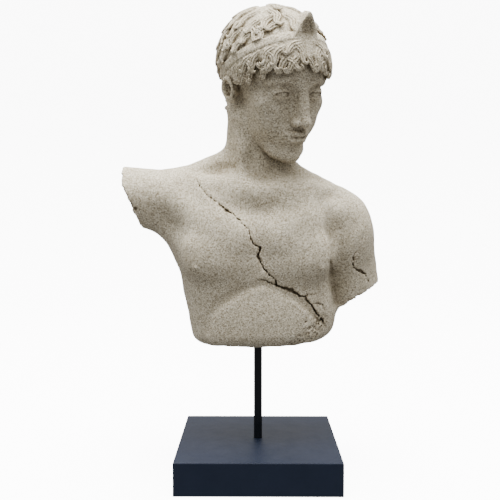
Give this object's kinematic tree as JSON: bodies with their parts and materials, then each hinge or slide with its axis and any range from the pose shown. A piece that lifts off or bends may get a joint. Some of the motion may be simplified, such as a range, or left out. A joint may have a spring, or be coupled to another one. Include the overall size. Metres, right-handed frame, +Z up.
{
  "type": "classical bust on a stand",
  "caption": "Cast stone bust of a classical youth with a headband and broken arms, held by a round rod on a square plinth.",
  "frame": {"origin": "centre of the plinth's underside, which is also on the rod's axis", "axes": "+Z up along the rod, -Y the figure's front, +X the figure's left"},
  "size_m": [0.2968, 0.178, 0.5253],
  "materials": {
    "bust": "sand textured, dry and matt, pale grey beige",
    "rod": "satin black paint on round steel",
    "plinth": "satin blue-black paint on board"
  },
  "bodies": {
    "root": {"bust": "bust", "rod": "rod", "plinth": "plinth"}
  },
  "joints": []
}
